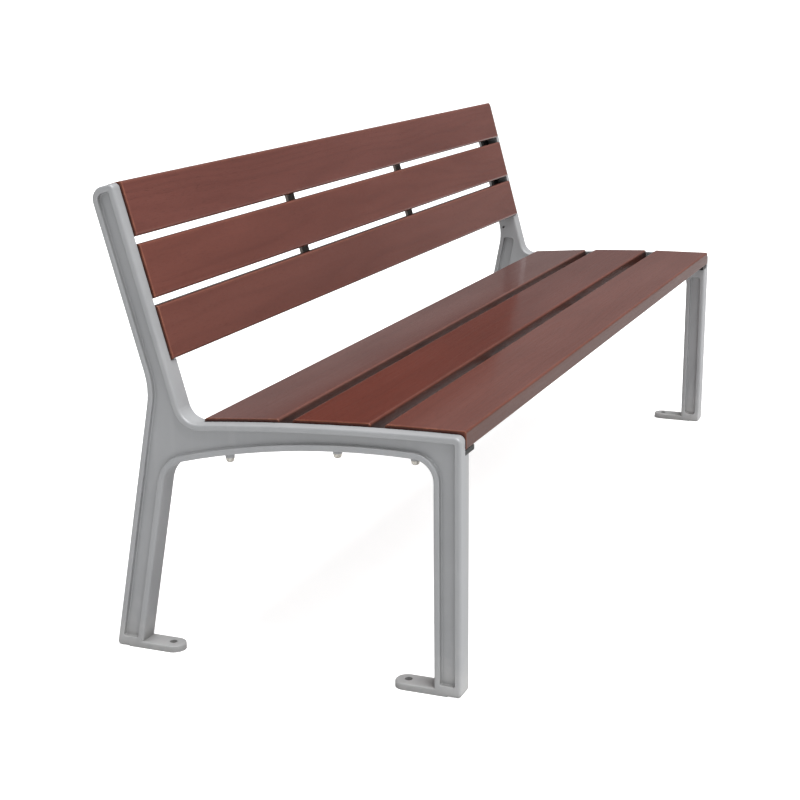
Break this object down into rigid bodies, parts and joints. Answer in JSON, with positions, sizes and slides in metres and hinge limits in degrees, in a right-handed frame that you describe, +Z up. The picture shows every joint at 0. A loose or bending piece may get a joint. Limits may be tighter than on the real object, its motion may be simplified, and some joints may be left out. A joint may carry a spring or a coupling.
{
  "type": "garden bench",
  "caption": "Garden bench with cast end frames, curved seat of wide timber slats and a leaning slatted back, bolted to the ground through foot plates.",
  "frame": {"origin": "on the floor, at the middle of the bounding box in plan", "axes": "+X along the bench to the sitter's left, +Y towards the back rest, +Z up"},
  "size_m": [1.8, 0.6306, 0.7906],
  "materials": {
    "frame_paint": "fine-textured light silver-grey paint on a casting",
    "bar_paint": "dark grey painted steel flat",
    "zinc": "zinc plated",
    "stained_wood": "mahogany stain with semi-gloss varnish"
  },
  "bodies": {
    "root": {"bottom_back_slat": "stained_wood", "front_seat_slat": "stained_wood", "left_back_bearer": "bar_paint", "left_back_bolt_washers": "zinc", "left_back_bolts": "zinc", "left_back_strap": "bar_paint", "left_back_strap_screws": "zinc", "left_end_frame": "frame_paint", "left_seat_bearer": "bar_paint", "left_seat_bolt_washers": "zinc", "left_seat_bolts": "zinc", "left_seat_strap": "bar_paint", "left_seat_strap_screws": "zinc", "middle_back_slat": "stained_wood", "middle_seat_slat": "stained_wood", "rear_seat_slat": "stained_wood", "right_back_bearer": "bar_paint", "right_back_bolt_washers": "zinc", "right_back_bolts": "zinc", "right_back_strap": "bar_paint", "right_back_strap_screws": "zinc", "right_end_frame": "frame_paint", "right_seat_bearer": "bar_paint", "right_seat_bolt_washers": "zinc", "right_seat_bolts": "zinc", "right_seat_strap": "bar_paint", "right_seat_strap_screws": "zinc", "top_back_slat": "stained_wood"}
  },
  "joints": []
}
